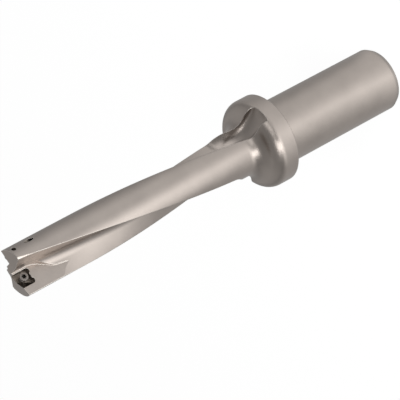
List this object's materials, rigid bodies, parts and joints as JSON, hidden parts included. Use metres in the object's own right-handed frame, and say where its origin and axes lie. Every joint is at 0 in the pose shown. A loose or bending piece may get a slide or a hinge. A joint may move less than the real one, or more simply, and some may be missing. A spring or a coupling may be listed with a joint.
{
  "type": "indexable drill",
  "caption": "Indexable drill with a cylindrical shank, round collar, helical chip flutes and empty insert seats with their screws.",
  "frame": {"origin": "centre of the shank's end face", "axes": "+Z along the axis to the cutting end, +X towards the outer insert seat, +Y towards the clamping flat"},
  "size_m": [0.035, 0.035, 0.1737],
  "materials": {
    "plated_steel": "satin nickel plate",
    "dark_steel": "black oxide"
  },
  "bodies": {
    "root": {"drill_body": "plated_steel", "inner_insert_screw": "dark_steel", "outer_insert_screw": "dark_steel"}
  },
  "joints": []
}
